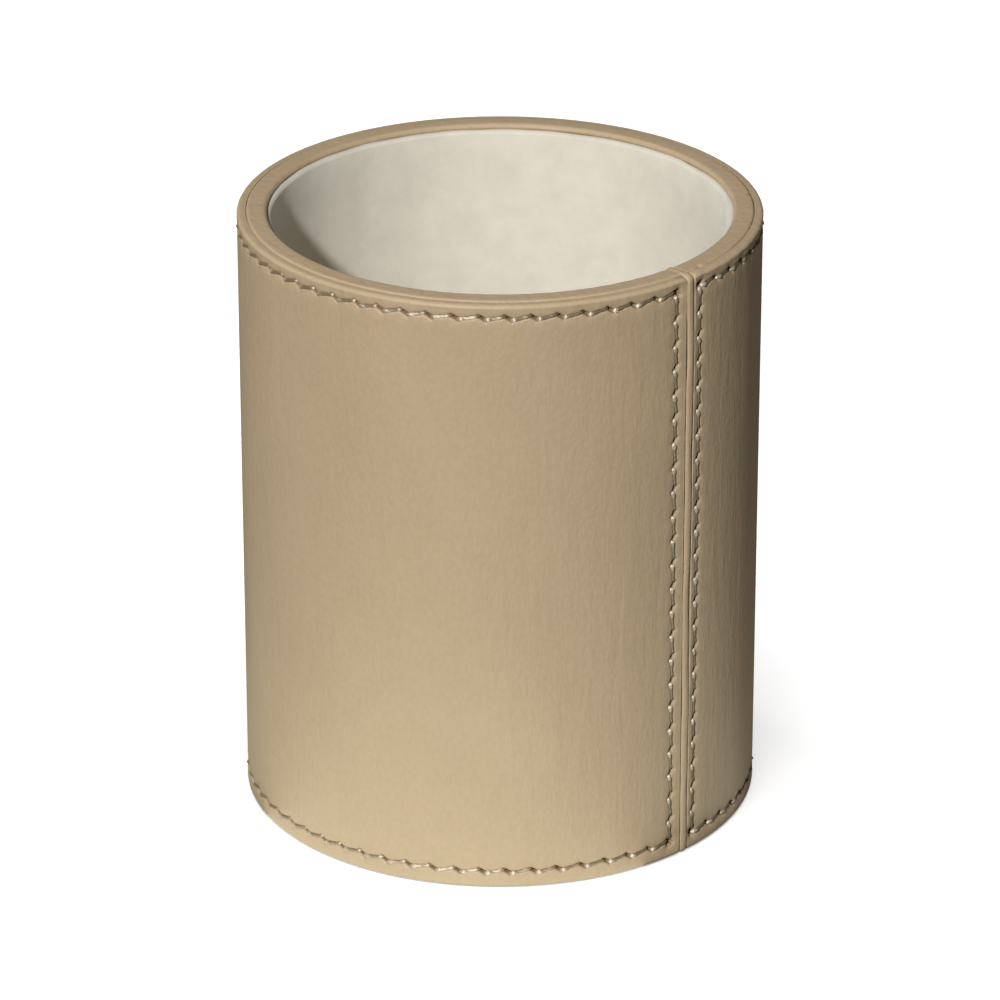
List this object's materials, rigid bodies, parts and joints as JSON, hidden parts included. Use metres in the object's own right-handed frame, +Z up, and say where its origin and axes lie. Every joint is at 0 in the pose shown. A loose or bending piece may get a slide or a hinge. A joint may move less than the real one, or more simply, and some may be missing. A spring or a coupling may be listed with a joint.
{
  "type": "pen holder cup",
  "caption": "Round straight-sided desk cup for pens: stitched leather over a board tube, welted seam, leather rim, suede lining.",
  "frame": {"origin": "centre of the underside, on the surface that the cup stands on", "axes": "+Z up along the cup's axis, -Y through the seam in the side"},
  "size_m": [0.0834, 0.0834, 0.1],
  "materials": {
    "leather": "fine-grained, semi-matte beige leather",
    "thread": "cream sewing thread",
    "suede_lining": "off-white suede cloth, matt",
    "board": "grey bookbinder's board, matt"
  },
  "bodies": {
    "root": {"outer_wrap": "leather", "seam_welt": "leather", "rim_band": "leather", "base_cover": "leather", "needle_thread": "thread", "bobbin_thread": "thread", "lining_sleeve": "suede_lining", "lining_floor": "suede_lining", "core_tube": "board", "filler_board": "board", "liner_board": "board", "base_board": "board", "floor_board": "board"}
  },
  "joints": []
}
